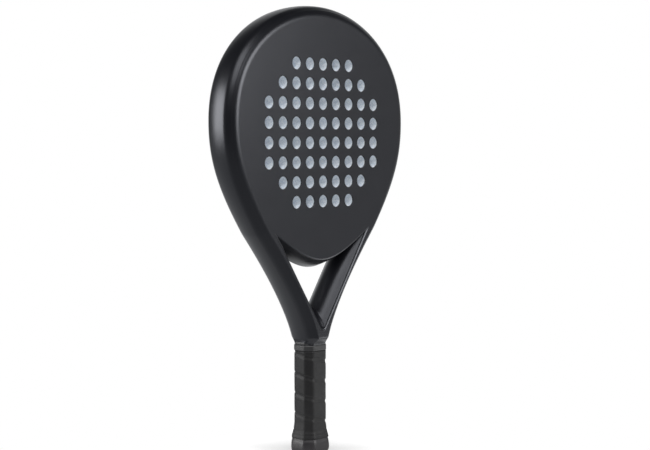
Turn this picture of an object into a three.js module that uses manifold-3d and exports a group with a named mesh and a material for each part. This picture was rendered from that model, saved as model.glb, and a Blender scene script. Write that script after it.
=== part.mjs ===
// Padel racket: moulded carbon frame and throat bridge round a perforated foam core,
// two face skins, and a wrapped octagonal handle with a flared butt cap.
//
// Millimetres. The origin is the middle of the butt end. +Z runs up the racket's length,
// X runs across its width, and the front face looks towards -Y.

import * as THREE from 'three';
import { mergeVertices } from 'three/addons/utils/BufferGeometryUtils.js';
import Module from 'manifold-3d';

const wasm = await Module();
wasm.setup();

// ---- Driving dimensions ------------------------------------------------------------------

const LENGTH = 455;
const WIDTH = 260;
const THICKNESS = 38;
const GAP = 0.3;                 // clearance between pieces that touch
const LAP = 1;                   // by which joined or cutting solids run into each other

// Half outline of the middle plane, as [x, z]: three Bezier curves from the crown, over the
// widest point and the start of the arm, down to the neck.
const WIDEST_Z = 337.6;
const CROWN_CURVE = [[0, LENGTH], [60.7, LENGTH], [WIDTH / 2, 417], [WIDTH / 2, WIDEST_Z]];
const SIDE_CURVE = [[WIDTH / 2, WIDEST_Z], [WIDTH / 2, 298.4], [117.2, 270.6], [86.6, 226.7]];
const ARM_CURVE = [[86.6, 226.7], [82.1, 220.2], [32.1, 163.3], [15.6, 117]];
const CURVE_STEPS = 12;

// Edge of the body: from the flat face, over a bevel to a crease, then to the middle plane.
const FACE_INSET = 10.4;         // from the middle outline in to the flat face
const CREASE_INSET = 1.6;
const CREASE_DEPTH = 6.7;        // of the crease below the face

// Throat: a triangle with a curved top, bevelled on both faces.
const THROAT_FOOT_Z = 124.5;
const THROAT_CORNER = new THREE.Vector2(66, 226.2);
const THROAT_TOP_Z = 198.3;
const THROAT_TOP_SLOPE = 0.63;   // of the top edge at the corners
const THROAT_TOP_HANDLES = { corner: 25, middle: 20 };
const THROAT_TOP_STEPS = 8;
const ARM_BEVEL = 8;
const BRIDGE_BEVEL = 5;
const THROAT_BEVEL_DEPTH = 10;
const THROAT_BULGE = { arm: 9.5, bridge: 8 };   // inset at the middle plane

// Construction of the head.
const TUBE_WIDTH = 23;           // frame tube, from the middle outline inwards
const TUBE_WALL = 1.8;
const BRIDGE_HEIGHT = 16.5;      // bridge tube, above the throat's top edge
const BRIDGE_VENT = { low: [50, -3, 225], high: [80, 3, 230] };   // at its right end
const SKIN = 1.2;
const BLADDER_WALL = 0.8;

// Holes through the face: each row's number of holes, from the top row down.
const HOLE_ROWS = [5, 7, 9, 9, 9, 9, 7, 5];
const HOLE_PITCH_X = 19.1;
const HOLE_PITCH_Z = 19.67;
const HOLE_GRID_Z = 327;         // centre of the grid
const HOLE_RADIUS = 6.25;
const HOLE_SIDES = 8;

// Handle: nested octagonal layers, from the overgrip in.
const GRIP = { x: 16.1, y: 13.8, chamfer: 6.8 };   // half width, half depth, corner cut
const OVERGRIP = 0.8;
const BASE_GRIP = 1.6;
const PALLET_WALL = 2.6;
const LEG_WALL = 1.3;
const LEG_SLOT = 1.5;            // half of the space between the two legs
const YOKE_SLOT = 1;             // half of the space between them above the handle
const YOKE_TOP_Z = 166;          // above the throat's foot
const NECK_HEIGHT = 9;           // above the tape, where the body reaches its full depth
const NECK_SPREAD = 6;
const LEG_END_Z = 36;            // the legs stop in the pallets above the cap
const LEG_SPACE_TOP_Z = 121;     // up to which a leg's space runs on into the ring's
const COLLAR_Z = 109;            // underside of the body inside the handle
const HANDLE_TOP_Z = 106;
const TAPE = { bottom: 105.6, top: 114, thickness: 0.35 };

// Butt cap.
const CAP_TOP_Z = 32;
const CAP_LIP_Z = 15;            // the grips end above this
const CAP_FLOOR = 3;
// Outside of the cap from its end up, as [z, inset from the grip's octagon].
const CAP_PROFILE = [[0, 0.5], [1.2, -1.7], [4.5, -3.2], [8, -3], [CAP_LIP_Z, -1.6]];
const CAP_SKIRT = 1.8;           // wall inside the grips
const CORD_HOLE_RADIUS = 5;
const CORD_HOLE_SIDES = 16;
const CORD_POCKET_TOP_Z = 16;

// Staples that hold the cap and the start of the base grip to the handle.
const STAPLE = { width: 8, wire: 0.8, leg: 6 };
const CAP_STAPLE_Z = 27;
const GRIP_STAPLE_Z = 23;

// Inset of the pallets' outer faces from the overgrip's.
const PALLET_INSET = OVERGRIP + BASE_GRIP + 2 * GAP;

// ---- Solids ------------------------------------------------------------------------------

function toSolid(geometry) {
  const bare = geometry.clone();
  bare.deleteAttribute('normal');
  bare.deleteAttribute('uv');
  const merged = mergeVertices(bare, 1e-4);
  return new wasm.Manifold(new wasm.Mesh({
    numProp: 3,
    vertProperties: new Float32Array(merged.attributes.position.array),
    triVerts: new Uint32Array(merged.index.array),
  }));
}

function toGeometry(solid) {
  const { vertProperties, triVerts } = solid.getMesh();
  const geometry = new THREE.BufferGeometry();
  geometry.setAttribute('position', new THREE.BufferAttribute(vertProperties, 3));
  geometry.setIndex(new THREE.BufferAttribute(triVerts, 1));
  geometry.computeVertexNormals();
  return geometry;
}

// A solid lofted through outlines with equal numbers of points, all anticlockwise.
// Each section is { level, outline }, and levels rise.
function loft(sections, place) {
  const count = sections[0].outline.length;
  const positions = [];
  for (const { level, outline } of sections) {
    for (const point of outline) positions.push(...place(point, level).toArray());
  }
  const index = [];
  for (let s = 0; s < sections.length - 1; s += 1) {
    for (let i = 0; i < count; i += 1) {
      const a = s * count + i;
      const b = s * count + (i + 1) % count;
      index.push(a, b, b + count, a, b + count, a + count);
    }
  }
  const last = (sections.length - 1) * count;
  for (const [a, b, c] of THREE.ShapeUtils.triangulateShape(sections[0].outline, [])) {
    index.push(c, b, a);
  }
  for (const [a, b, c] of THREE.ShapeUtils.triangulateShape(sections.at(-1).outline, [])) {
    index.push(last + a, last + b, last + c);
  }
  const geometry = new THREE.BufferGeometry();
  geometry.setAttribute('position', new THREE.Float32BufferAttribute(positions, 3));
  geometry.setIndex(index);
  return toSolid(geometry);
}

// The body's outlines are drawn in X and Z, and its levels rise from the rear to the front.
function loftDepth(sections) {
  return loft(sections, (point, level) => new THREE.Vector3(point.x, -level, point.y));
}

function loftHeight(sections) {
  return loft(sections, (point, level) => new THREE.Vector3(point.x, point.y, level));
}

function plate(outline, halfDepth) {
  return loftDepth([{ level: -halfDepth, outline }, { level: halfDepth, outline }]);
}

function box(low, high) {
  const geometry = new THREE.BoxGeometry(high[0] - low[0], high[1] - low[1], high[2] - low[2]);
  geometry.translate((low[0] + high[0]) / 2, (low[1] + high[1]) / 2, (low[2] + high[2]) / 2);
  return toSolid(geometry);
}

// ---- Outline of the body -----------------------------------------------------------------

const HALF_OUTLINE = [CROWN_CURVE, SIDE_CURVE, ARM_CURVE].map(
  (points) => new THREE.CubicBezierCurve(...points.map(([x, z]) => new THREE.Vector2(x, z))));

// Points down the right half of the body, moved inwards by inset.
function halfOutline(inset) {
  const points = [];
  HALF_OUTLINE.forEach((curve, part) => {
    for (let i = part === 0 ? 0 : 1; i <= CURVE_STEPS; i += 1) {
      const tangent = curve.getTangent(i / CURVE_STEPS);
      const inwards = new THREE.Vector2(tangent.y, -tangent.x);
      points.push(curve.getPoint(i / CURVE_STEPS).addScaledVector(inwards, inset));
    }
  });
  points[0].x = 0;
  return points;
}

// Both halves of an outline whose right half starts at the crown.
function wholeOutline(right) {
  const left = right.slice(1).map((point) => new THREE.Vector2(-point.x, point.y));
  return [...left, ...right.reverse()];
}

// The body's outline, closed by a straight foot at footZ.
function bodyOutline(inset, footZ) {
  const neckX = ARM_CURVE.at(-1)[0];
  return wholeOutline([...halfOutline(inset), new THREE.Vector2(neckX - inset, footZ)]);
}

// An inset outline that closes where its two sides meet, above the neck.
function innerOutline(inset) {
  return wholeOutline(halfOutline(inset).filter((point) => point.x >= 0));
}

// Sections of the body's edge, shrunk on all sides by a wall thickness.
function edgeSections(wall) {
  const face = THICKNESS / 2;
  const profile = [
    { inset: FACE_INSET, depth: 0 },
    { inset: CREASE_INSET, depth: CREASE_DEPTH },
    { inset: 0, depth: face },
  ];
  const front = profile.map(({ inset, depth }) => ({
    level: (depth - face) * (face - wall) / face,
    outline: bodyOutline(inset + wall, COLLAR_Z + wall),
  }));
  const rear = front.slice(0, -1).reverse().map(({ level, outline }) => ({ level: -level, outline }));
  return [...front, ...rear];
}

// Octagon of the handle, moved inwards by inset.
function octagon(inset) {
  const x = GRIP.x - inset;
  const y = GRIP.y - inset;
  const cut = GRIP.chamfer - inset * (2 - Math.SQRT2);
  const corner = [[x, cut - y], [x, y - cut], [x - cut, y], [cut - x, y]];
  return [...corner, ...corner.map(([a, b]) => [-a, -b])].map(([a, b]) => new THREE.Vector2(a, b));
}

// The neck widens from the handle's octagon, under the tape, to the full body. Above it the
// envelope opens out far past the body on all sides.
function neckEnvelope(wall) {
  const under = TAPE.thickness + GAP + wall;
  return loftHeight([
    { level: COLLAR_Z + wall, outline: octagon(under) },
    { level: TAPE.top, outline: octagon(under) },
    { level: TAPE.top + NECK_HEIGHT, outline: octagon(under - NECK_SPREAD) },
    { level: LENGTH + THICKNESS, outline: octagon(under - WIDTH * 6) },
  ]);
}

// ---- Throat opening ----------------------------------------------------------------------

// Everything below the throat's curved top edge, moved down by inset.
function underBridge(inset) {
  const { x, y } = THROAT_CORNER;
  const { corner, middle } = THROAT_TOP_HANDLES;
  const half = new THREE.CubicBezierCurve(
    new THREE.Vector2(x, y),
    new THREE.Vector2(x - corner, y - corner * THROAT_TOP_SLOPE),
    new THREE.Vector2(middle, THROAT_TOP_Z),
    new THREE.Vector2(0, THROAT_TOP_Z),
  );
  const farX = 2 * x;
  const right = [new THREE.Vector2(farX, y + x * THROAT_TOP_SLOPE), ...half.getPoints(THROAT_TOP_STEPS)];
  const left = right.slice(0, -1).reverse().map((point) => new THREE.Vector2(-point.x, point.y));
  const top = [...right, ...left].map((point) => new THREE.Vector2(point.x, point.y - inset));
  return [...top, new THREE.Vector2(-farX, 0), new THREE.Vector2(farX, 0)];
}

// The wedge between the two arms, moved inwards by inset.
function armWedge(inset) {
  const run = THROAT_CORNER.x;
  const rise = THROAT_CORNER.y - THROAT_FOOT_Z;
  const footZ = THROAT_FOOT_Z + inset * Math.hypot(run, rise) / run;
  return [new THREE.Vector2(run * 2, footZ + rise * 2), new THREE.Vector2(-run * 2, footZ + rise * 2),
    new THREE.Vector2(0, footZ)];
}

// Sections through one side of the throat, from one face to the other.
function throatSections(outlineAt, bevel, bulge, wall) {
  const face = THICKNESS / 2;
  const depths = [
    { level: -face - LAP, inset: 0 },
    { level: -face, inset: 0 },
    { level: THROAT_BEVEL_DEPTH - face, inset: bevel },
    { level: 0, inset: bulge },
  ].map(({ level, inset }) => ({ level, outline: outlineAt(inset - wall) }));
  const rear = depths.slice(0, -1).reverse().map(({ level, outline }) => ({ level: -level, outline }));
  return [...depths, ...rear];
}

// The throat opening, grown on all sides by a wall thickness.
function throat(wall) {
  const wedge = loftDepth(throatSections(armWedge, ARM_BEVEL, THROAT_BULGE.arm, wall));
  const under = loftDepth(throatSections(underBridge, BRIDGE_BEVEL, THROAT_BULGE.bridge, wall));
  return wedge.intersect(under);
}

// ---- Moulded body and what it holds ------------------------------------------------------

// The racket's moulded outer shape, shrunk on all sides by a wall thickness.
function bodySolid(wall) {
  return loftDepth(edgeSections(wall)).intersect(neckEnvelope(wall)).subtract(throat(wall));
}

// A plate as thick as the body over everything inside the frame tube.
function insideFrame(inset) {
  return plate(innerOutline(inset), THICKNESS);
}

function belowCore(inset) {
  return plate(underBridge(inset - BRIDGE_HEIGHT), THICKNESS);
}

// One of the two straight tube ends inside the handle, right of the middle.
function handleLeg(wall, bottomZ, topZ) {
  return prism(PALLET_INSET + PALLET_WALL + GAP + wall, bottomZ, topZ)
    .intersect(box([LEG_SLOT + wall, -THICKNESS, 0], [WIDTH, THICKNESS, LENGTH]));
}

function mirrored(solid) {
  return solid.add(solid.mirror([1, 0, 0]));
}

// The space inside the frame tube, shrunk by a margin and open at the ends of the legs.
function frameSpace(margin) {
  const wall = TUBE_WALL + margin;
  const ring = bodySolid(wall)
    .subtract(insideFrame(TUBE_WIDTH - wall))
    .subtract(legSlot(wall));
  const legs = mirrored(handleLeg(LEG_WALL + margin, LEG_END_Z - 2 * LAP, LEG_SPACE_TOP_Z));
  return ring.add(legs);
}

function legSlot(wall) {
  const half = YOKE_SLOT + wall;
  return box([-half, -THICKNESS, 0], [half, THICKNESS, THROAT_CORNER.y]);
}

function frameTube() {
  const ring = bodySolid(0)
    .subtract(insideFrame(TUBE_WIDTH))
    .subtract(legSlot(0));
  const legs = mirrored(handleLeg(0, LEG_END_Z, COLLAR_Z + LAP));
  return ring.add(legs).subtract(frameSpace(0));
}

function frameBladder() {
  const trim = box([-WIDTH, -THICKNESS, 0], [WIDTH, THICKNESS, LEG_END_Z + LAP]);
  return frameSpace(GAP).subtract(frameSpace(GAP + BLADDER_WALL)).subtract(trim);
}

// The wedge that joins the two legs below the throat opening.
function yokeWedge() {
  const half = YOKE_SLOT - GAP;
  return bodySolid(0).intersect(box([-half, -THICKNESS, COLLAR_Z], [half, THICKNESS, YOKE_TOP_Z]));
}

// The bridge across the throat, shrunk on all sides by a margin.
function bridgeSolid(margin) {
  const inside = insideFrame(TUBE_WIDTH + GAP + margin);
  return bodySolid(margin).intersect(inside).intersect(belowCore(margin + GAP));
}

function throatBridge() {
  const vents = mirrored(box(BRIDGE_VENT.low, BRIDGE_VENT.high));
  return bridgeSolid(0).subtract(bridgeSolid(TUBE_WALL)).subtract(vents);
}

function bridgeFoam() {
  return bridgeSolid(TUBE_WALL + GAP);
}

function faceHoles() {
  const holes = [];
  HOLE_ROWS.forEach((count, row) => {
    const z = HOLE_GRID_Z + (HOLE_ROWS.length / 2 - 0.5 - row) * HOLE_PITCH_Z;
    for (let i = 0; i < count; i += 1) {
      const hole = new THREE.CylinderGeometry(HOLE_RADIUS, HOLE_RADIUS, THICKNESS * 2, HOLE_SIDES);
      hole.rotateY(Math.PI / HOLE_SIDES);
      hole.translate((i - (count - 1) / 2) * HOLE_PITCH_X, 0, z);
      holes.push(toSolid(hole));
    }
  });
  return wasm.Manifold.union(holes);
}

// The perforated disc inside the frame and above the bridge, between two depths.
function facePlate(nearY, farY) {
  const slab = box([-WIDTH, nearY, 0], [WIDTH, farY, LENGTH + 10]);
  return insideFrame(TUBE_WIDTH + GAP)
    .subtract(belowCore(0))
    .intersect(slab)
    .subtract(faceHoles());
}

// ---- Handle ------------------------------------------------------------------------------

function prism(inset, bottomZ, topZ) {
  return loftHeight([{ level: bottomZ, outline: octagon(inset) }, { level: topZ, outline: octagon(inset) }]);
}

function sleeve(inset, wall, bottomZ, topZ) {
  return prism(inset, bottomZ, topZ).subtract(prism(inset + wall, bottomZ - LAP, topZ + LAP));
}

function cordBore(topZ) {
  const bore = new THREE.CylinderGeometry(
    CORD_HOLE_RADIUS, CORD_HOLE_RADIUS, 2 * topZ, CORD_HOLE_SIDES);
  bore.rotateX(Math.PI / 2);
  return toSolid(bore);
}

// Half of the moulded octagon that closes round the legs. side is -1 in front, 1 behind.
// It is solid below the legs, where the staples and the wrist cord's pocket are.
function handlePallet(side) {
  const near = side < 0 ? -THICKNESS : GAP / 2;
  const far = side < 0 ? -GAP / 2 : THICKNESS;
  return prism(PALLET_INSET, CAP_FLOOR + GAP, COLLAR_Z - GAP)
    .subtract(prism(PALLET_INSET + PALLET_WALL, LEG_END_Z - GAP, LENGTH))
    .subtract(cordBore(CORD_POCKET_TOP_Z))
    .subtract(capSkirt(GAP))
    .subtract(allStaples(GAP))
    .intersect(box([-WIDTH, near, 0], [WIDTH, far, LENGTH]));
}

function handleFoam() {
  const y = GRIP.y - PALLET_INSET - PALLET_WALL - GAP;
  const x = LEG_SLOT - GAP;
  return box([-x, -y, LEG_END_Z], [x, y, COLLAR_Z - GAP]);
}

// The sleeve of the cap that fits round the pallets, inside the grips.
function capSkirt(grow) {
  return prism(PALLET_INSET - grow, CAP_FLOOR, CAP_TOP_Z + grow)
    .subtract(prism(PALLET_INSET + CAP_SKIRT + grow, 0, LENGTH));
}

function buttCap() {
  const outside = loftHeight(CAP_PROFILE.map(([level, inset]) => ({ level, outline: octagon(inset) })));
  return outside
    .add(prism(PALLET_INSET, CAP_FLOOR, CAP_TOP_Z))
    .subtract(prism(PALLET_INSET + CAP_SKIRT, CAP_FLOOR, LENGTH))
    .subtract(cordBore(CORD_POCKET_TOP_Z))
    .subtract(allStaples(GAP));
}

function baseGrip() {
  return sleeve(OVERGRIP + GAP, BASE_GRIP, CAP_LIP_Z + GAP, HANDLE_TOP_Z).subtract(allStaples(GAP));
}

function baseGripTape() {
  return sleeve(OVERGRIP + GAP, BASE_GRIP, HANDLE_TOP_Z + GAP, COLLAR_Z - GAP);
}

function overgrip() {
  return sleeve(0, OVERGRIP, CAP_LIP_Z + GAP, TAPE.bottom - GAP);
}

function finishingTape() {
  return sleeve(0, TAPE.thickness, TAPE.bottom, TAPE.top);
}

// A wire staple pressed in along -Y, with its outer face at y = -depth, grown by a margin.
function staple(depth, z, grow) {
  const half = STAPLE.width / 2 + grow;
  const wire = STAPLE.wire + grow;
  const low = z - STAPLE.wire / 2 - grow;
  const high = z + STAPLE.wire / 2 + grow;
  const crown = box([-half, -depth - grow, low], [half, wire - depth, high]);
  const leg = box([half - wire - grow, -depth, low], [half, STAPLE.leg + grow - depth, high]);
  return crown.add(mirrored(leg));
}

function capStaple(side, grow) {
  const inFront = staple(GRIP.y - PALLET_INSET, CAP_STAPLE_Z, grow);
  return side < 0 ? inFront : inFront.mirror([0, 1, 0]);
}

// It pins the end of the base grip to the cap's skirt on the right side of the handle.
function gripStaple(grow) {
  return staple(GRIP.x - OVERGRIP - 2 * GAP, GRIP_STAPLE_Z, grow).rotate([0, 0, 90]);
}

function allStaples(grow) {
  return capStaple(-1, grow).add(capStaple(1, grow)).add(gripStaple(grow));
}

// ---- Materials and assembly --------------------------------------------------------------

const MATERIALS = {
  carbon: new THREE.MeshStandardMaterial({ color: 0x3b3c41, roughness: 0.42, metalness: 0 }),
  foam: new THREE.MeshStandardMaterial({ color: 0xd8dde2, roughness: 0.9, metalness: 0 }),
  filler: new THREE.MeshStandardMaterial({ color: 0xc9b78a, roughness: 0.95, metalness: 0 }),
  bladder: new THREE.MeshStandardMaterial({ color: 0xc4c8cc, roughness: 0.5, metalness: 0 }),
  grip: new THREE.MeshStandardMaterial({ color: 0x333436, roughness: 0.75, metalness: 0 }),
  tape: new THREE.MeshStandardMaterial({ color: 0x3a3a3d, roughness: 0.6, metalness: 0 }),
  cap: new THREE.MeshStandardMaterial({ color: 0x2b292e, roughness: 0.55, metalness: 0 }),
  steel: new THREE.MeshStandardMaterial({ color: 0xb8babd, roughness: 0.3, metalness: 1 }),
};

const racket = new THREE.Group();
racket.name = 'padel_racket';

function addPiece(group, name, solid, material) {
  const mesh = new THREE.Mesh(toGeometry(solid), MATERIALS[material]);
  mesh.name = name;
  group.add(mesh);
}

function addHead() {
  const head = new THREE.Group();
  const face = THICKNESS / 2;
  addPiece(head, 'frame_tube', frameTube(), 'carbon');
  addPiece(head, 'frame_bladder', frameBladder(), 'bladder');
  addPiece(head, 'yoke_wedge', yokeWedge(), 'carbon');
  addPiece(head, 'throat_bridge', throatBridge(), 'carbon');
  addPiece(head, 'bridge_foam', bridgeFoam(), 'filler');
  addPiece(head, 'front_face_skin', facePlate(-face, SKIN - face), 'carbon');
  addPiece(head, 'eva_core', facePlate(SKIN + GAP - face, face - SKIN - GAP), 'foam');
  addPiece(head, 'rear_face_skin', facePlate(face - SKIN, face), 'carbon');
  racket.add(head);
}

function addHandle() {
  const handle = new THREE.Group();
  addPiece(handle, 'handle_foam', handleFoam(), 'filler');
  addPiece(handle, 'front_handle_pallet', handlePallet(-1), 'filler');
  addPiece(handle, 'rear_handle_pallet', handlePallet(1), 'filler');
  addPiece(handle, 'butt_cap', buttCap(), 'cap');
  addPiece(handle, 'front_cap_staple', capStaple(-1, 0), 'steel');
  addPiece(handle, 'rear_cap_staple', capStaple(1, 0), 'steel');
  addPiece(handle, 'grip_staple', gripStaple(0), 'steel');
  addPiece(handle, 'base_grip', baseGrip(), 'grip');
  addPiece(handle, 'base_grip_tape', baseGripTape(), 'tape');
  addPiece(handle, 'overgrip', overgrip(), 'grip');
  addPiece(handle, 'finishing_tape', finishingTape(), 'tape');
  racket.add(handle);
}

addHead();
addHandle();

export default racket;
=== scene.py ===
import math

import bmesh
import bpy
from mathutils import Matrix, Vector, noise
from mathutils.geometry import tessellate_polygon


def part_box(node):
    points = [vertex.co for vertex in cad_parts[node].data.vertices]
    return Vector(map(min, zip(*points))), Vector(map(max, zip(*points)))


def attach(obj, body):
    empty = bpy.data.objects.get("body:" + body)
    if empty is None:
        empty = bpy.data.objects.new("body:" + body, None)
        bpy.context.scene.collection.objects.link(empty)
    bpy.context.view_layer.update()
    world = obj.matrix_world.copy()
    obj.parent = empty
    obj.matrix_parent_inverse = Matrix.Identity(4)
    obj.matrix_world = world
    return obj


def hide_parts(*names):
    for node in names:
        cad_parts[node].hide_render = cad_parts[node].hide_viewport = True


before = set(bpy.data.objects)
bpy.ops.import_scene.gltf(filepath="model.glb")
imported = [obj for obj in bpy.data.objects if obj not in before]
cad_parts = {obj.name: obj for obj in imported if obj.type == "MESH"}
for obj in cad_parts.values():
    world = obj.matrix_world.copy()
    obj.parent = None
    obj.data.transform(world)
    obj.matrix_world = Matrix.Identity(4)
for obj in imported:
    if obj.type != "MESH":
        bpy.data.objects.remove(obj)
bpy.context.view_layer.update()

# Padel racket. Metres, in the row frame: +Z runs up the racket's length, X runs across its width,
# and the front face looks towards -Y. The moulded body is one smooth shell, the face skins and the
# foam core carry the round holes, and the handle is wrapped.

# ---- Sizes ---------------------------------------------------------------------------------

MM = 0.001
HALVINGS = 40
HALF_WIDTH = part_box("frame_tube")[1].x
HALF_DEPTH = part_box("frame_tube")[1].y
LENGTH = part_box("frame_tube")[1].z

# Half outline of the middle plane, as (x, z): from the crown, over the widest point and down
# the arm to the neck.
WIDEST_Z = 0.3376
CROWN_CURVE = ((0, LENGTH), (0.0607, LENGTH), (HALF_WIDTH, 0.417), (HALF_WIDTH, WIDEST_Z))
SIDE_CURVE = ((HALF_WIDTH, WIDEST_Z), (HALF_WIDTH, 0.2984), (0.1172, 0.2706), (0.0866, 0.2267))
ARM_CURVE = ((0.0866, 0.2267), (0.0821, 0.2202), (0.0321, 0.1633), (0.0156, 0.117))
CROWN_STEPS = 60
SIDE_STEPS = 44
ARM_STEPS = 56
ARM_CROWDING = 1.6               # how much closer the rows of the arm lie towards the neck

# Neck: the rows turn level, and the section changes to the handle's octagon.
LEVEL_ZONE = (0.135, 0.117)
TAPER_ZONE = (0.1195, 0.1115)
NECK_ROW = 0.0008
COLLAR_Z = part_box("base_grip_tape")[1].z + 0.0003
COLLAR_TOP_Z = 0.112
COLLAR_INSET = 0.00065           # of the body's end, from the side of the wrap
GRID_TOP_Z = 0.124               # below this the flat between the two edges is made in rows
GRID_COLUMNS = 6

# Edge of the body, as inset from the outline and height over the middle plane, where the body
# is full and where it has become the octagon.
FACE_CORNER = ((0.0091, HALF_DEPTH), (0.0064, 0.01315))
CREASE_CORNER = ((0.0016, 0.0123), (0.0, 0.0067))
FACE_CUTS = (0.0011, 0.0040)     # rounding of the face's edge, on the arms and round the head
FACE_CUT_ZONE = (0.215, 0.290)
CREASE_CUT = 0.0042
CREASE_SHARE = 0.25              # of the side wall, taken by the rounding of the crease
SUPPORT = 0.0002                 # flat strip that keeps the shading of a flat surface even
BEVEL_CROWN = 0.00015
BEVEL_STEPS = 5
CORNER_STEPS = 7
SIDE_WALL_STEPS = 9

# Throat opening. A corner is (inset of the arms, inset of the bridge, height over the middle
# plane), both insets from the rim.
THROAT_FOOT = Vector((0, 0.1245))
THROAT_CORNER = Vector((0.066, 0.2262))
THROAT_TOP_CURVE = (THROAT_CORNER, (0.041, 0.21045), (0.020, 0.1983), (0, 0.1983))
THROAT_TOP_SLOPE = 0.63
THROAT_LAND = 0.0014                                    # width of the sloping land at the rim
LAND_ROWS = (0, 0.15, 0.5)                              # shares of the land, from its upper end
THROAT_RIM = (0.0, 0.0, HALF_DEPTH - 0.00048)           # lower end of the land
THROAT_STEP = (0.0005, 0.0005, HALF_DEPTH - 0.0018)     # foot of the small step below it
THROAT_DEEP = (0.0084, 0.0050, 0.0090)                  # where the bevel meets the inner wall
THROAT_MIDDLE = (0.0095, 0.0080, 0.0)
RIM_CUTS = (0.0003, 0.0004)      # rounding of the rim, on the land and on the step
STEP_CUTS = (0.0003, 0.0005)     # rounding of the step's foot, on the step and on the bevel
STEP_SUPPORT = 0.0016            # distance from the step's foot to the first row of the bevel
DEEP_CUT = 0.0078
RIM_BEND_STEPS = 3
DEEP_BEND_STEPS = 10
THROAT_FILLET = 0.0045
THROAT_TOP_STEPS = 22
THROAT_ARM_STEPS = 18
THROAT_FOOT_STEPS = 8
TOP_CORNER_SHARE = 0.026         # of the top curve, taken by the rounding of its corner
TOP_CORNER_CUT = 0.0022          # of the arm's side, taken by the same rounding
TOP_CORNER_STEPS = 4
CORNER_SEARCH = (-0.3, 0.9)      # stretch of the top curve, and past it, that meets the arm's side

# Face opening, skins and core.
FACE_INSET = 0.023
BRIDGE_RISE = 0.0165
BRIDGE_STEPS = 30
SKIN = 0.0012
HOLE_ROWS = (5, 7, 9, 9, 9, 9, 7, 5)
HOLE_PITCH = Vector((0.0191, 0.01967))
HOLE_GRID_Z = 0.327
HOLE_RADIUS = 0.00625
HOLE_SIDES = 40
HOLE_ROUND = 0.00035
HOLE_ROUND_STEPS = 4
CORE_ROWS = 6

# Handle: half sizes and corner cut of the wrap's octagon.
GRIP_HALF = Vector((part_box("overgrip")[1].x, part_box("overgrip")[1].y))
GRIP_CUT = 0.0068
GRIP_CORNER = 0.0021
GRIP_CORNER_STEPS = 4
SIDE_COLUMNS = 7

# Wrap. Outsets are from the octagon.
WRAP_ROW = 0.0007
WRAP_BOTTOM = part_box("overgrip")[0].z
WRAP_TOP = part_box("overgrip")[1].z
WRAP_OUTSET = -0.0002
WRAP_INNER_ROWS = (0.031, 0.024, 0.019)
OVERGRIP = 0.0008
WRAP_PITCH = 0.0208
WRAP_START = 0.0843              # height of a groove at the left rear corner
WRAP_START_ANGLE = math.radians(135)
GROOVE_DEPTH = 0.00075
GROOVE_EDGE = 0.0014
GROOVE_FLOOR = 0.0011
GROOVE_RAMP = 0.0034
GROOVE_FADE = (0.027, 0.032)     # the grooves fade out downwards between these heights
TURN_EDGES = (0.0222, 0.0188)    # heights of the steps of the first turns, over the cap
TURN_EDGE = 0.0004
TURN_STEP = 0.0003
WRAP_END = 0.0006                # height of the rounding at the wrap's two ends
BOTTOM_DROP = 0.00035
TOP_DROP = 0.0007

# Tape band, two turns thick below a step.
TAPE_ROW = 0.0002
TAPE_OUTSET = -0.0004
TAPE_INNER_OUTSET = -0.00072
TAPE_STEP_ZONE = (0.1113, 0.1101)
TAPE_STEP = 0.0005
SEAM_Z = 0.1116
SEAM_HALF_WIDTH = 0.0004
SEAM_DEPTH = 0.0004
TAPE_BOTTOM_ZONE = (0.1061, 0.1056)
TAPE_BOTTOM_DROP = 0.0002
TAPE_TOP_ZONE = (0.1135, 0.1140)
TAPE_TOP_DROP = 0.00015

# Butt cap.
CAP_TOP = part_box("butt_cap")[1].z
CAP_FLOOR = 0.003
CAP_WALL = 0.0018
SKIRT_OUTSET = -0.003
CORD_HOLE_RADIUS = 0.005
CORD_HOLE_EDGE = ((0, CAP_FLOOR), (0, 0.0006), (0.0002, 0.0002), (0.0006, 0), (0.0009, 0))
END_OUTSET = -0.0009
CAP_RIM = (Vector((END_OUTSET, 0)), Vector((0.0025, 0)), Vector((0.0031, 0.0045)))
CAP_RIM_STEPS = 8
CAP_ROWS = (0.006, 0.0075, 0.009, 0.011)
CAP_ROW_DROP = 0.0001            # how much further each row of the cap stands inside the flare
END_STRIP = 0.0003               # flat strip of the end, inside its rim
LIP_DROP = 0.0012                # from the wrap's end down to the last row that follows the flare
LIP_INSET = 0.0004               # of that row, from the flare
CAP_LIP = ((0.0011, -0.0002), (0.0009, 0.001), (SKIRT_OUTSET, 0.003))    # (outset, z from the wrap's end)

# Flare of the wrap over the cap, as (z, outset).
FLARE = ((0.0, 0.0), (0.0045, 0.0032), (0.0095, 0.0032), (0.0150, 0.0023), (0.0190, 0.0016),
         (0.0240, 0.0007), (0.0310, 0.0), (0.2, 0.0))


# ---- Curves --------------------------------------------------------------------------------

def smooth_step(value, start, end):
    """0 before start and 1 after end, which may be the lower of the two."""
    t = min(1.0, max(0.0, (value - start) / (end - start)))
    return t * t * (3 - 2 * t)


def mix(a, b, t):
    return a + (b - a) * t


def bezier(curve, t):
    """Point and direction of a cubic Bezier curve."""
    a, b, c, d = (Vector(p) for p in curve)
    u = 1 - t
    point = a * u**3 + b * (3 * u * u * t) + c * (3 * u * t * t) + d * t**3
    direction = (b - a) * (u * u) + (c - b) * (2 * u * t) + (d - c) * (t * t)
    return point, direction.normalized()


def bend(start, corner, end, steps):
    """Points of a quadratic Bezier curve."""
    ts = [i / steps for i in range(steps + 1)]
    return [start * (1 - t) ** 2 + corner * (2 * t * (1 - t)) + end * t * t for t in ts]


def towards(point, other, distance):
    return point + (other - point).normalized() * distance


def turning_point(holds, low, high):
    """The last value between low and high for which the condition holds, by halving."""
    for _ in range(HALVINGS):
        middle = (low + high) / 2
        if holds(middle):
            low = middle
        else:
            high = middle
    return low


# ---- Mesh building -------------------------------------------------------------------------

def add_ring(bm, points):
    return [bm.verts.new(p) for p in points]


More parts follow.
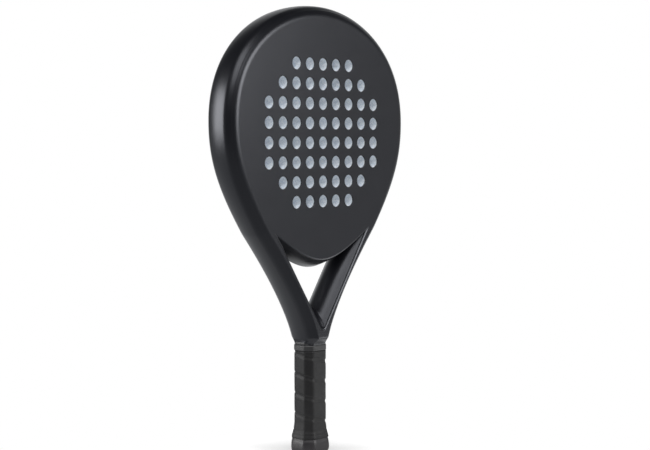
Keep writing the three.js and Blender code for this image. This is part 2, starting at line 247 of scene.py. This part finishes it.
def join_rings(bm, first, second, closed=True):
    count = len(first)
    for i in range(count if closed else count - 1):
        j = (i + 1) % count
        bm.faces.new((first[i], first[j], second[j], second[i]))


def join_all(bm, rings, closed=True):
    for first, second in zip(rings, rings[1:]):
        join_rings(bm, first, second, closed)


def fill_flat(bm, loops):
    """Fills the upright flat area inside the first loop and outside the others."""
    corners = [vert for loop in loops for vert in loop]
    outlines = [[Vector((v.co.x, v.co.z, 0)) / MM for v in loop] for loop in loops]
    for a, b, c in tessellate_polygon(outlines):
        bm.faces.new((corners[a], corners[b], corners[c]))


def finish_piece(bm, name, material, replaced, sharp_angle=32):
    bmesh.ops.recalc_face_normals(bm, faces=bm.faces)
    for face in bm.faces:
        face.smooth = True
    for edge in bm.edges:
        edge.smooth = edge.calc_face_angle(0) < math.radians(sharp_angle)
    mesh = bpy.data.meshes.new(name)
    bm.to_mesh(mesh)
    bm.free()
    mesh.materials.append(material)
    piece = bpy.data.objects.new(name, mesh)
    bpy.context.scene.collection.objects.link(piece)
    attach(piece, "root")
    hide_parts(*replaced)
    return piece


# ---- Moulded body --------------------------------------------------------------------------

def outline_rows():
    """Points down the right half of the body, each with its inward direction."""
    samples = [(CROWN_CURVE, i / CROWN_STEPS) for i in range(CROWN_STEPS)]
    samples += [(SIDE_CURVE, i / SIDE_STEPS) for i in range(SIDE_STEPS)]
    samples += [(ARM_CURVE, 1 - (1 - i / ARM_STEPS) ** ARM_CROWDING) for i in range(ARM_STEPS + 1)]
    rows = []
    for curve, t in samples:
        point, direction = bezier(curve, t)
        inward = Vector((direction.y, -direction.x))
        level = smooth_step(point.y, *LEVEL_ZONE)
        rows.append((point, inward.lerp(Vector((-1, 0)), level).normalized()))
    neck = rows[-1][0]
    count = math.ceil((neck.y - COLLAR_Z) / NECK_ROW)
    for i in range(1, count + 1):
        z = mix(neck.y, COLLAR_Z, i / count)
        x = mix(neck.x, GRIP_HALF.x - COLLAR_INSET, smooth_step(z, neck.y, COLLAR_TOP_Z))
        rows.append((Vector((x, z)), Vector((-1, 0))))
    return rows


def edge_profile(taper, face_cut):
    """From the front flat to the rear flat, as (inset, height) pairs."""
    face = Vector(FACE_CORNER[0]).lerp(Vector(FACE_CORNER[1]), taper)
    crease = Vector(CREASE_CORNER[0]).lerp(Vector(CREASE_CORNER[1]), taper)
    middle = Vector((0, 0))
    edge = face + Vector((face_cut, 0))
    high = towards(face, crease, face_cut)
    low = towards(crease, face, mix(CREASE_CUT, CREASE_CUT / 2, taper))
    outward = Vector((low.y - high.y, high.x - low.x)).normalized()
    profile = [edge + Vector((SUPPORT, 0))]
    profile += bend(edge, face, high, CORNER_STEPS)
    for t in [i / BEVEL_STEPS for i in range(1, BEVEL_STEPS)]:
        profile.append(high.lerp(low, t) + outward * (BEVEL_CROWN * 4 * t * (1 - t)))
    shares = [mix(CREASE_SHARE, 1, i / SIDE_WALL_STEPS) for i in range(SIDE_WALL_STEPS + 1)]
    wall = [crease * (1 - t) ** 2 + Vector((0, crease.y / 2)) * (2 * t * (1 - t)) for t in shares]
    profile += bend(low, crease, wall[0], CORNER_STEPS)
    profile += wall[1:-1] + [middle]
    rear = [Vector((p.x, -p.y)) for p in profile[-2::-1]]
    return profile + rear


def edge_ring(point, inward, side):
    taper = smooth_step(point.y, *TAPER_ZONE)
    face_cut = mix(*FACE_CUTS, smooth_step(point.y, *FACE_CUT_ZONE))
    ring = []
    for inset, height in edge_profile(taper, face_cut):
        place = point + inward * inset
        ring.append((side * place.x, -height, place.y))
    return ring


def face_opening():
    """Right half of the opening that the face skins fill, from the crown to the bridge."""
    points = []
    for point, inward in outline_rows():
        place = point + inward * FACE_INSET
        if place.x < 0 or place.y < bridge_height(place.x) + BRIDGE_RISE:
            break
        points.append(place)
    last = points[-1].x
    for i in range(1, BRIDGE_STEPS + 1):
        x = last * (1 - i / BRIDGE_STEPS)
        points.append(Vector((x, bridge_height(x) + BRIDGE_RISE)))
    points[0].x = 0
    points[-1].x = 0
    return points


def bridge_height(x):
    """Height of the throat's top edge, and of its straight run past the corners."""
    if x >= THROAT_CORNER.x:
        return THROAT_CORNER.y + (x - THROAT_CORNER.x) * THROAT_TOP_SLOPE
    place = turning_point(lambda t: bezier(THROAT_TOP_CURVE, t)[0].x > x, 0.0, 1.0)
    return bezier(THROAT_TOP_CURVE, place)[0].y


def mirror_loop(half):
    """A closed loop from its right half, whose ends are on the middle line."""
    return half + [Vector((-p.x, p.y)) for p in half[-2:0:-1]]


def throat_half(arm, bridge):
    """Right half of the throat's outline at one depth, from its top to its foot."""
    along = (THROAT_CORNER - THROAT_FOOT).normalized()
    inward = Vector((-along.y, along.x))
    lowered = Vector((0, bridge))

    def top(t):
        return bezier(THROAT_TOP_CURVE, t)[0] - lowered

    meeting = turning_point(lambda t: inward.dot(top(t) - THROAT_FOOT) < arm, *CORNER_SEARCH)
    corner = top(meeting)
    top_end = meeting + TOP_CORNER_SHARE
    points = [top(mix(1, top_end, i / THROAT_TOP_STEPS)) for i in range(THROAT_TOP_STEPS + 1)]
    arm_start = corner - along * TOP_CORNER_CUT
    points += bend(points[-1], corner, arm_start, TOP_CORNER_STEPS)[1:]
    foot = THROAT_FOOT + Vector((0, arm / along.x))
    arm_end = foot + along * (THROAT_FILLET * along.y / along.x)
    points += [arm_start.lerp(arm_end, i / THROAT_ARM_STEPS) for i in range(1, THROAT_ARM_STEPS + 1)]
    centre = foot + Vector((0, THROAT_FILLET / along.x))
    turn = math.atan2(along.y, along.x)
    for i in range(1, THROAT_FOOT_STEPS + 1):
        angle = turn * (1 - i / THROAT_FOOT_STEPS)
        points.append(centre + Vector((math.sin(angle), -math.cos(angle))) * THROAT_FILLET)
    points[0].x = 0
    points[-1].x = 0
    return points


def throat_levels():
    """Insets of the arms and of the bridge, and height, from the front flat to the rear flat."""
    flat = THROAT_LAND + SUPPORT
    start = Vector((-THROAT_LAND, -THROAT_LAND, HALF_DEPTH))
    rim = Vector(THROAT_RIM)
    step = Vector(THROAT_STEP)
    deep = Vector(THROAT_DEEP)
    middle = Vector(THROAT_MIDDLE)

    def rounded(before, corner, after, cuts, steps):
        return bend(towards(corner, before, cuts[0]), corner, towards(corner, after, cuts[1]), steps)

    levels = [Vector((-flat, -flat, HALF_DEPTH))]
    levels += [start.lerp(rim, share) for share in LAND_ROWS]
    levels += rounded(start, rim, step, RIM_CUTS, RIM_BEND_STEPS)
    levels += rounded(rim, step, deep, STEP_CUTS, RIM_BEND_STEPS)
    levels += [towards(step, deep, STEP_SUPPORT)]
    levels += rounded(step, deep, middle, (DEEP_CUT, DEEP_CUT), DEEP_BEND_STEPS)
    levels += [middle]
    return levels + [Vector((p.x, p.y, -p.z)) for p in levels[-2::-1]]


def add_neck_rows(bm, left, right, rows, end):
    """Rows across the flat between the two edges. end is 0 in front and -1 behind."""
    lines = []
    for row in rows:
        a, b = left[row][end], right[row][end]
        inner = [bm.verts.new(a.co.lerp(b.co, i / GRID_COLUMNS)) for i in range(1, GRID_COLUMNS)]
        lines.append([a, *inner, b])
    join_all(bm, lines, closed=False)
    return lines


def make_body(material):
    bm = bmesh.new()
    rows = outline_rows()
    right = [add_ring(bm, edge_ring(point, inward, 1)) for point, inward in rows]
    left = [right[0]] + [add_ring(bm, edge_ring(point, inward, -1)) for point, inward in rows[1:]]
    join_all(bm, right, closed=False)
    join_all(bm, left, closed=False)
    first = next(i for i, ring in enumerate(right) if ring[0].co.z < GRID_TOP_Z)
    neck = range(first, len(rows))
    throat = [mirror_loop(throat_half(level.x, level.y)) for level in throat_levels()]
    throat_rings = [
        add_ring(bm, [(p.x, -level.z, p.y) for p in loop])
        for loop, level in zip(throat, throat_levels())
    ]
    join_all(bm, throat_rings)
    opening = mirror_loop(face_opening())
    opening_rings = [
        add_ring(bm, [(p.x, y, p.y) for p in opening]) for y in (-HALF_DEPTH, HALF_DEPTH)
    ]
    join_all(bm, opening_rings)
    ends = []
    for end in (0, -1):
        lines = add_neck_rows(bm, left, right, neck, end)
        edge = [ring[end] for ring in left[first:0:-1]] + [ring[end] for ring in right[:first + 1]]
        fill_flat(bm, [edge + lines[0][-2:0:-1], throat_rings[end], opening_rings[end]])
        ends.append(lines[-1])
    underside = left[-1] + ends[1][1:-1] + right[-1][::-1] + ends[0][-2:0:-1]
    bm.faces.new(underside)
    return finish_piece(bm, "moulded_body", material,
                        ["frame_tube", "throat_bridge", "yoke_wedge"])


# ---- Face and core -------------------------------------------------------------------------

def hole_centres():
    centres = []
    for row, count in enumerate(HOLE_ROWS):
        z = HOLE_GRID_Z + (len(HOLE_ROWS) / 2 - 0.5 - row) * HOLE_PITCH.y
        centres += [Vector(((i - (count - 1) / 2) * HOLE_PITCH.x, z)) for i in range(count)]
    return centres


def circle(radius, sides):
    turns = [2 * math.pi * i / sides for i in range(sides)]
    return [Vector((math.cos(a), math.sin(a))) * radius for a in turns]


def perforated_plate(name, outer_y, inner_y, hole_profile, material, replaced):
    """A plate in the face opening. hole_profile is (radius, depth below the outer side) pairs."""
    bm = bmesh.new()
    inwards = 1 if inner_y > outer_y else -1
    opening = mirror_loop(face_opening())
    sides = [add_ring(bm, [(p.x, y, p.y) for p in opening]) for y in (outer_y, inner_y)]
    join_all(bm, sides)
    outer_loops, inner_loops = [], []
    for centre in hole_centres():
        rings = []
        for radius, depth in hole_profile:
            y = outer_y + inwards * depth
            rim = [centre + p for p in circle(radius, HOLE_SIDES)]
            rings.append(add_ring(bm, [(p.x, y, p.y) for p in rim]))
        join_all(bm, rings)
        outer_loops.append(rings[0])
        inner_loops.append(rings[-1])
    fill_flat(bm, [sides[0], *outer_loops])
    fill_flat(bm, [sides[1], *inner_loops])
    return finish_piece(bm, name, material, replaced)


def make_skins(material):
    edge = bend(Vector((HOLE_RADIUS + HOLE_ROUND, 0)), Vector((HOLE_RADIUS, 0)),
                Vector((HOLE_RADIUS, HOLE_ROUND)), HOLE_ROUND_STEPS)
    profile = [(HOLE_RADIUS + HOLE_ROUND + SUPPORT, 0), *[tuple(p) for p in edge], (HOLE_RADIUS, SKIN)]
    for name, side, node in (("front_skin", -1, "front_face_skin"), ("rear_skin", 1, "rear_face_skin")):
        perforated_plate(name, side * HALF_DEPTH, side * (HALF_DEPTH - SKIN), profile, material,
                         [node])


def make_core(material):
    depth = 2 * (HALF_DEPTH - SKIN)
    profile = [(HOLE_RADIUS, depth * i / CORE_ROWS) for i in range(CORE_ROWS + 1)]
    core = perforated_plate("foam_core", SKIN - HALF_DEPTH, HALF_DEPTH - SKIN, profile, material,
                            ["eva_core"])


# ---- Handle --------------------------------------------------------------------------------

def octagon(outset):
    """Rounded octagon of the handle, anticlockwise, moved outwards by outset."""
    x = GRIP_HALF.x + outset
    y = GRIP_HALF.y + outset
    cut = GRIP_CUT + outset * (2 - math.sqrt(2))
    quarter = [Vector((x, cut - y)), Vector((x, y - cut)), Vector((x - cut, y)), Vector((cut - x, y))]
    corners = quarter + [-p for p in quarter]
    points = []
    for i, corner in enumerate(corners):
        before, after, next_but_one = corners[i - 1], corners[(i + 1) % 8], corners[(i + 2) % 8]
        end = towards(corner, after, GRIP_CORNER)
        points += bend(towards(corner, before, GRIP_CORNER), corner, end, GRIP_CORNER_STEPS)
        flat_end = towards(after, corner, GRIP_CORNER)
        points += [end.lerp(flat_end, k / SIDE_COLUMNS) for k in range(1, SIDE_COLUMNS)]
    return points


BASE_OCTAGON = octagon(0)
OUTSET_OCTAGON = [(far - near) / MM for near, far in zip(BASE_OCTAGON, octagon(MM))]


def grip_ring(z, outset_at):
    """A ring round the handle. outset_at takes the angle round the handle, and z."""
    points = []
    for base, out in zip(BASE_OCTAGON, OUTSET_OCTAGON):
        place = base + out * outset_at(math.atan2(base.y, base.x), z)
        points.append((place.x, place.y, z))
    return points


def closed_sleeve(bm, rings):
    join_all(bm, rings)
    join_rings(bm, rings[-1], rings[0])


def level_rows(low, high, step):
    count = math.ceil((high - low) / step)
    return [mix(low, high, i / count) for i in range(count + 1)]


def flare(z):
    """How far the wrap stands out at the butt end."""
    for (z0, out0), (z1, out1) in zip(FLARE, FLARE[1:]):
        if z <= z1:
            return mix(out0, out1, smooth_step(z, z0, z1) * 0.5 + (z - z0) / (z1 - z0) * 0.5)
    return 0.0


def ripple(angle, z, around, along, height):
    """Smooth unevenness round the handle. around and along say how close its bumps lie."""
    place = Vector((math.cos(angle) * around, math.sin(angle) * around, z * along))
    return noise.noise(place) * height


def wrap_groove(angle, z):
    """Depth, 0 to 1, of the overlap groove that winds down round the handle."""
    turns = ((angle - WRAP_START_ANGLE) / (2 * math.pi)) % 1.0
    wander = ripple(angle, z, around=1.3, along=60, height=0.0007)
    below = (WRAP_START - turns * WRAP_PITCH - z + wander) % WRAP_PITCH
    if below > WRAP_PITCH - GROOVE_EDGE:
        return smooth_step(below, WRAP_PITCH - GROOVE_EDGE, WRAP_PITCH)
    return 1 - smooth_step(below, GROOVE_FLOOR, GROOVE_FLOOR + GROOVE_RAMP)


def wrap_outset(angle, z):
    groove = wrap_groove(angle, z) * smooth_step(z, *GROOVE_FADE) * GROOVE_DEPTH
    swell = ripple(angle, z, around=2, along=90, height=0.00012)
    turns = sum(smooth_step(z, edge, edge - TURN_EDGE) for edge in TURN_EDGES) * TURN_STEP
    bottom = smooth_step(z, WRAP_BOTTOM + WRAP_END, WRAP_BOTTOM) * BOTTOM_DROP
    top = smooth_step(z, WRAP_TOP - WRAP_END, WRAP_TOP) * TOP_DROP
    return flare(z) + WRAP_OUTSET + turns + swell - groove - bottom - top


def make_overgrip(material):
    bm = bmesh.new()
    rows = level_rows(WRAP_BOTTOM, WRAP_TOP, WRAP_ROW)
    outer = [add_ring(bm, grip_ring(z, wrap_outset)) for z in rows]
    inner = [
        add_ring(bm, grip_ring(z, lambda angle, height: flare(height) - GROOVE_DEPTH - OVERGRIP))
        for z in (WRAP_TOP, *WRAP_INNER_ROWS, WRAP_BOTTOM)
    ]
    closed_sleeve(bm, outer + inner)
    grip = finish_piece(bm, "wound_overgrip", material, ["overgrip"], sharp_angle=50)


def tape_outset(angle, z):
    second_turn = smooth_step(z, *TAPE_STEP_ZONE) * TAPE_STEP
    seam = math.exp(-((z - SEAM_Z) / SEAM_HALF_WIDTH) ** 2) * SEAM_DEPTH
    wrinkle = ripple(angle, z, around=5, along=500, height=0.00006)
    bottom = smooth_step(z, *TAPE_BOTTOM_ZONE) * TAPE_BOTTOM_DROP
    top = smooth_step(z, *TAPE_TOP_ZONE) * TAPE_TOP_DROP
    return TAPE_OUTSET + second_turn + wrinkle - seam - bottom - top


def make_tape(material):
    bm = bmesh.new()
    low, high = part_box("finishing_tape")[0].z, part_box("finishing_tape")[1].z
    outer = [add_ring(bm, grip_ring(z, tape_outset)) for z in level_rows(low, high, TAPE_ROW)]
    inner = [add_ring(bm, grip_ring(z, lambda angle, height: TAPE_INNER_OUTSET)) for z in (high, low)]
    closed_sleeve(bm, outer + inner)
    finish_piece(bm, "finishing_band", material, ["finishing_tape"], sharp_angle=50)


def make_cap(material):
    """Rings from the cord hole over the end, up the outside, and down inside the skirt."""
    bm = bmesh.new()
    turns = [math.atan2(p.y, p.x) for p in BASE_OCTAGON]

    def round_ring(radius, z):
        return add_ring(bm, [(math.cos(a) * radius, math.sin(a) * radius, z) for a in turns])

    def outer_ring(outset, z):
        return add_ring(bm, grip_ring(z, lambda angle, height: outset))

    rings = [round_ring(CORD_HOLE_RADIUS + out, z) for out, z in CORD_HOLE_EDGE]
    rings += [outer_ring(END_OUTSET - END_STRIP, 0)]
    rings += [outer_ring(p.x, p.y) for p in bend(*CAP_RIM, CAP_RIM_STEPS)]
    rings += [outer_ring(flare(z) - CAP_ROW_DROP * i, z) for i, z in enumerate(CAP_ROWS)]
    rings += [outer_ring(flare(WRAP_BOTTOM - LIP_DROP) - LIP_INSET, WRAP_BOTTOM - LIP_DROP)]
    rings += [outer_ring(outset, WRAP_BOTTOM + z) for outset, z in CAP_LIP]
    rings += [
        outer_ring(SKIRT_OUTSET, CAP_TOP),
        outer_ring(SKIRT_OUTSET - CAP_WALL, CAP_TOP),
        outer_ring(SKIRT_OUTSET - CAP_WALL, CAP_FLOOR),
    ]
    closed_sleeve(bm, rings)
    finish_piece(bm, "flared_butt_cap", material, ["butt_cap"], sharp_angle=40)


# ---- Materials -----------------------------------------------------------------------------

class Nodes:
    """Adds shader nodes to a node tree and links them."""

    def __init__(self, tree):
        self.tree = tree

    def add(self, kind, **inputs):
        node = self.tree.nodes.new("ShaderNode" + kind)
        for name, value in inputs.items():
            node.inputs[name.replace("_", " ")].default_value = value
        return node

    def link(self, output, socket):
        self.tree.links.new(output, socket)

    def spread(self, value, low, high, source=(0.0, 1.0)):
        """value, taken from the source range to between low and high."""
        node = self.add("MapRange", From_Min=source[0], From_Max=source[1], To_Min=low, To_Max=high)
        self.link(value, node.inputs["Value"])
        return node.outputs["Result"]

    def sum(self, first, second, share):
        """first plus share of second. share is a number or another node's output."""
        node = self.add("Math")
        node.operation = "MULTIPLY_ADD"
        self.link(second, node.inputs[0])
        if isinstance(share, float):
            node.inputs[1].default_value = share
        else:
            self.link(share, node.inputs[1])
        self.link(first, node.inputs[2])
        return node.outputs["Value"]


class Surface(Nodes):
    """A material whose nodes read the object's own coordinates."""

    def __init__(self, name):
        self.material = bpy.data.materials.new(name)
        self.material.use_nodes = True
        super().__init__(self.material.node_tree)
        self.shader = self.tree.nodes["Principled BSDF"]
        self.place = self.add("TexCoord").outputs["Object"]

    def set(self, **values):
        for name, value in values.items():
            self.shader.inputs[name.replace("_", " ")].default_value = value

    def stretched(self, scale):
        node = self.add("Mapping", Scale=scale)
        self.link(self.place, node.inputs["Vector"])
        return node.outputs["Vector"]

    def noise(self, scale, detail=3.0, roughness=0.5, stretch=(1, 1, 1)):
        node = self.add("TexNoise", Scale=scale, Detail=detail, Roughness=roughness)
        self.link(self.stretched(stretch), node.inputs["Vector"])
        return node.outputs["Fac"]

    def cells(self, scale):
        node = self.add("TexVoronoi", Scale=scale)
        self.link(self.place, node.inputs["Vector"])
        return node.outputs["Distance"]

    def blend(self, factor, first, second):
        """From the first colour to the second. Each is a tuple or another node's output."""
        node = self.add("Mix")
        node.data_type = "RGBA"
        for socket, value in (("A_Color", first), ("B_Color", second)):
            target = next(s for s in node.inputs if s.identifier == socket)
            if isinstance(value, tuple):
                target.default_value = (*value, 1)
            else:
                self.link(value, target)
        self.link(factor, next(s for s in node.inputs if s.identifier == "Factor_Float"))
        return next(s for s in node.outputs if s.identifier == "Result_Color")

    def colour(self, output):
        self.link(output, self.shader.inputs["Base Color"])

    def roughness(self, output):
        self.link(output, self.shader.inputs["Roughness"])

    def relief(self, height, depth, strength):
        """Bump of the given depth in metres."""
        node = self.add("Bump", Strength=strength, Distance=depth)
        self.link(height, node.inputs["Height"])
        self.link(node.outputs["Normal"], self.shader.inputs["Normal"])


def satin_lacquer():
    surface = Surface("satin_charcoal_lacquer")
    surface.set(Specular_IOR_Level=0.42, Specular_Tint=(0.90, 0.92, 1.0, 1))
    clouds = surface.noise(14, 4, 0.55)
    flakes = surface.spread(surface.noise(5200, 2, 0.6), 0.0, 0.5, (0.6, 0.85))
    tone = surface.blend(clouds, (0.0038, 0.0041, 0.0056), (0.0058, 0.0061, 0.0080))
    surface.colour(surface.blend(flakes, tone, (0.020, 0.021, 0.023)))
    surface.roughness(surface.spread(surface.noise(55, 5, 0.6), 0.28, 0.36))
    peel = surface.sum(surface.noise(620, 2, 0.5), surface.noise(2400, 2, 0.5), 0.35)
    surface.relief(peel, 0.00004, 0.6)
    return surface.material


def foam(name, pale, deep, cell, depth):
    surface = Surface(name)
    surface.set(Specular_IOR_Level=0.3)
    cells = surface.cells(cell)
    clouds = surface.noise(90, 4, 0.6)
    specks = surface.spread(surface.noise(cell, 2, 0.7), 0.0, 1.0, (0.44, 0.60))
    mottle = surface.sum(specks, surface.spread(clouds, 0.0, 0.6), 0.3)
    surface.colour(surface.blend(mottle, pale, deep))
    surface.roughness(surface.spread(clouds, 0.78, 0.95))
    surface.relief(surface.sum(cells, surface.noise(cell * 2.5, 3), 0.6), depth, 0.8)
    return surface.material


def wrap_leather():
    surface = Surface("matte_wrap")
    surface.set(Specular_IOR_Level=0.34, Sheen_Weight=0.02, Sheen_Roughness=0.5)
    pores = surface.cells(2300)
    folds = surface.noise(380, 4, 0.6, (1, 1, 2.2))
    clouds = surface.noise(45, 4, 0.6)
    surface.colour(surface.blend(clouds, (0.0028, 0.0027, 0.0031), (0.0056, 0.0054, 0.0060)))
    surface.roughness(surface.spread(surface.sum(clouds, pores, 0.3), 0.42, 0.60))
    surface.relief(surface.sum(folds, pores, 0.8), 0.00012, 0.7)
    return surface.material


def vinyl_tape():
    surface = Surface("finishing_tape_vinyl")
    surface.set(Specular_IOR_Level=0.5)
    wrinkles = surface.noise(700, 4, 0.6, (1, 1, 5))
    clouds = surface.noise(120, 3)
    surface.colour(surface.blend(clouds, (0.0150, 0.0150, 0.0160), (0.0260, 0.0260, 0.0275)))
    surface.roughness(surface.spread(wrinkles, 0.38, 0.55))
    surface.relief(wrinkles, 0.00008, 0.6)
    return surface.material


def moulded_plastic():
    surface = Surface("moulded_cap_plastic")
    surface.set(Specular_IOR_Level=0.5)
    grain = surface.noise(1500, 3, 0.6)
    clouds = surface.noise(60, 3)
    surface.colour(surface.blend(clouds, (0.0070, 0.0058, 0.0073), (0.0115, 0.0100, 0.0120)))
    surface.roughness(surface.spread(clouds, 0.40, 0.52))
    surface.relief(grain, 0.00003, 0.6)
    return surface.material


def nylon_film():
    surface = Surface("nylon_film")
    surface.set(Specular_IOR_Level=0.5, Coat_Weight=0.3, Coat_Roughness=0.2)
    creases = surface.noise(160, 5, 0.65, (1, 1, 3))
    surface.colour(surface.blend(creases, (0.42, 0.45, 0.48), (0.60, 0.62, 0.64)))
    surface.roughness(surface.spread(creases, 0.25, 0.45))
    surface.relief(creases, 0.0003, 0.7)
    return surface.material


def drawn_steel():
    surface = Surface("drawn_steel_wire")
    surface.set(Metallic=1.0, Anisotropic=0.3)
    streaks = surface.noise(900, 4, 0.6, (0.1, 1, 6))
    surface.colour(surface.blend(streaks, (0.42, 0.43, 0.45), (0.66, 0.67, 0.69)))
    surface.roughness(surface.spread(streaks, 0.22, 0.42))
    surface.relief(streaks, 0.00002, 0.5)
    return surface.material


def dress_inner_nodes(wrap, tape):
    filler = foam("polyurethane_filler", (0.60, 0.49, 0.28), (0.46, 0.36, 0.19), 700, 0.0003)
    film = nylon_film()
    steel = drawn_steel()
    finishes = {
        "frame_bladder": film, "bridge_foam": filler, "handle_foam": filler,
        "front_handle_pallet": filler, "rear_handle_pallet": filler,
        "front_cap_staple": steel, "rear_cap_staple": steel, "grip_staple": steel,
        "base_grip": wrap, "base_grip_tape": tape,
    }
    for node, material in finishes.items():
        for material_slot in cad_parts[node].material_slots:
            material_slot.material = material


# ---- Camera, lights and floor --------------------------------------------------------------

CAMERA_PLACE = Vector((-1.0517, -1.0073, 0.31825))
CAMERA_BACK = Vector((-0.7282, -0.6829, 0.0583))
CAMERA_LENS = 79.07
SENSOR_WIDTH = 36

# Name, azimuth, elevation, distance, size, radiance and the height aimed at. The azimuth and
# elevation are those that a camera at the light's place would have.
SOFTBOXES = (
    ("left_rear_softbox", -121, 10, 1.5, (0.90, 0.85), 9.4, 0.26),
    ("right_front_softbox", 18, 17, 1.5, (0.80, 0.75), 10.0, 0.26),
    ("upper_left_softbox", -42, 46, 1.4, (0.78, 0.78), 4.8, 0.26),
    ("right_fill_panel", 56, 0, 2.0, (1.60, 1.20), 0.40, 0.26),
    ("low_right_card", 56, -26, 1.2, (0.60, 0.34), 3.0, 0.20),
)

FLOOR_RADIUS = 0.12
FLOOR_SIDES = 96
FLOOR_DROP = 0.0002              # keeps the floor clear of the cap's flat end


def make_camera():
    camera = bpy.data.objects.new("camera", bpy.data.cameras.new("camera"))
    camera.data.lens = CAMERA_LENS
    camera.data.sensor_width = SENSOR_WIDTH
    camera.data.clip_start = 0.05
    camera.data.clip_end = 50
    camera.location = CAMERA_PLACE
    camera.rotation_mode = "QUATERNION"
    camera.rotation_quaternion = (-CAMERA_BACK).to_track_quat("-Z", "Y")
    bpy.context.scene.collection.objects.link(camera)
    bpy.context.scene.camera = camera


def make_softbox(name, azimuth, elevation, distance, size, radiance, aim_z):
    a, e = math.radians(azimuth), math.radians(elevation)
    back = Vector((math.sin(a) * math.cos(e), -math.cos(a) * math.cos(e), math.sin(e)))
    light = bpy.data.lights.new(name, "AREA")
    light.shape = "RECTANGLE"
    light.size, light.size_y = size
    light.energy = radiance * math.pi * size[0] * size[1]
    lamp = bpy.data.objects.new(name, light)
    lamp.location = Vector((0, 0, aim_z)) + back * distance
    lamp.rotation_mode = "QUATERNION"
    lamp.rotation_quaternion = (-back).to_track_quat("-Z", "Y")
    lamp.visible_camera = False
    bpy.context.scene.collection.objects.link(lamp)


def make_world():
    """Plain white behind the object. What it reflects is a dark studio with a pale table, which
    is lighter away from the camera."""
    world = bpy.data.worlds.new("studio")
    world.use_nodes = True
    world.node_tree.nodes.clear()
    bpy.context.scene.world = world
    nodes = Nodes(world.node_tree)
    direction = nodes.add("TexCoord").outputs["Generated"]
    away = nodes.add("VectorMath")
    away.operation = "DOT_PRODUCT"
    away.inputs[1].default_value = (0.73, 0.68, 0.0)
    nodes.link(direction, away.inputs[0])
    height = nodes.add("SeparateXYZ")
    nodes.link(direction, height.inputs["Vector"])
    walls = nodes.spread(away.outputs["Value"], 0.05, 1.10, (0.55, 0.98))
    table = nodes.spread(away.outputs["Value"], 0.38, 0.78, (-0.7, 0.3))
    below = nodes.spread(height.outputs["Z"], 0.0, 1.0, (-0.05, -0.45))
    studio = nodes.add("Background", Color=(0.97, 0.985, 1.0, 1))
    nodes.link(nodes.sum(walls, below, table), studio.inputs["Strength"])
    backdrop = nodes.add("Background", Color=(1, 1, 1, 1), Strength=1.0)
    either = nodes.add("MixShader")
    nodes.link(nodes.add("LightPath").outputs["Is Camera Ray"], either.inputs["Fac"])
    nodes.link(studio.outputs["Background"], either.inputs[1])
    nodes.link(backdrop.outputs["Background"], either.inputs[2])
    nodes.link(either.outputs["Shader"], nodes.add("OutputWorld").inputs["Surface"])


def floor_paint():
    """Glowing floor with a painted contact shadow: pale grey where the object stands, and the backdrop's
    white towards the edge.
    """
    surface = Surface("glowing_floor_painted_shadow")
    surface.set(Base_Color=(0.30, 0.30, 0.30, 1), Roughness=0.9, Specular_IOR_Level=0.1)
    surface.set(Emission_Color=(1, 1, 1, 1))
    reach = surface.add("VectorMath")
    reach.operation = "LENGTH"
    surface.link(surface.place, reach.inputs[0])
    # Lower emission near the object is a painted contact shadow; further out the floor glows to white.
    painted_shadow_glow = surface.spread(reach.outputs["Value"], 0.55, 1.0, (0.02, 0.115))
    surface.link(painted_shadow_glow, surface.shader.inputs["Emission Strength"])
    return surface.material


def make_floor():
    bm = bmesh.new()
    bm.faces.new(add_ring(bm, [(p.x, p.y, -FLOOR_DROP) for p in circle(FLOOR_RADIUS, FLOOR_SIDES)]))
    mesh = bpy.data.meshes.new("studio_floor")
    bm.to_mesh(mesh)
    bm.free()
    mesh.materials.append(floor_paint())
    floor = bpy.data.objects.new("studio_floor", mesh)
    bpy.context.scene.collection.objects.link(floor)


# ---- Scene ---------------------------------------------------------------------------------

def build():
    make_camera()
    for softbox in SOFTBOXES:
        make_softbox(*softbox)
    make_world()
    make_floor()
    lacquer = satin_lacquer()
    wrap = wrap_leather()
    tape = vinyl_tape()
    make_body(lacquer)
    make_skins(lacquer)
    make_core(foam("eva_foam_core", (0.96, 0.98, 1.00), (0.70, 0.76, 0.83), 700, 0.00010))
    make_overgrip(wrap)
    make_tape(tape)
    make_cap(moulded_plastic())
    dress_inner_nodes(wrap, tape)
    bpy.context.scene.view_settings.view_transform = "Standard"


build()
